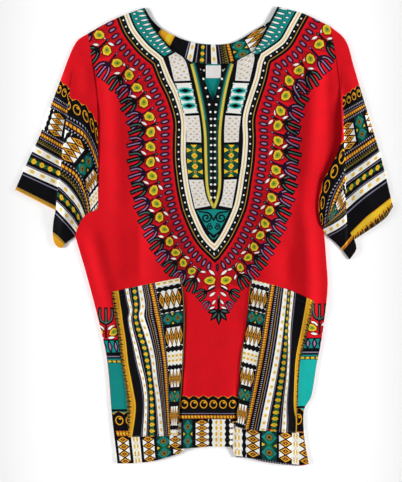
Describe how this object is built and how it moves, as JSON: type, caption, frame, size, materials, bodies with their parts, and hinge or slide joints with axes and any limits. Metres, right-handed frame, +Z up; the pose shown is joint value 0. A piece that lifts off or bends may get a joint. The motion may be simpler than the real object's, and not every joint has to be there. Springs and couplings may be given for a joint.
{
  "type": "dashiki shirt laid flat",
  "caption": "Short-sleeved pullover dashiki shirt with a slit round neck and two patch pockets, laid face up on a surface with soft folds.",
  "frame": {"origin": "middle of the flat underside, at the bottom centre of the bounding box", "axes": "+X to the right of the shirt as seen, +Y from the hem to the neck, +Z up from the surface it lies on, out of the front"},
  "size_m": [0.658, 0.8001, 0.0178],
  "materials": {
    "red_print_cotton": "plain-weave printed cotton, soft sheen",
    "border_print_cotton": "plain-weave printed cotton with striped border print, soft sheen",
    "label_cloth": "bare woven satin label"
  },
  "bodies": {
    "root": {"back": "red_print_cotton", "front": "red_print_cotton", "sleeve_left": "border_print_cotton", "sleeve_right": "border_print_cotton", "pocket_left": "border_print_cotton", "pocket_right": "border_print_cotton", "neck_facing": "border_print_cotton", "label": "label_cloth"}
  },
  "joints": []
}
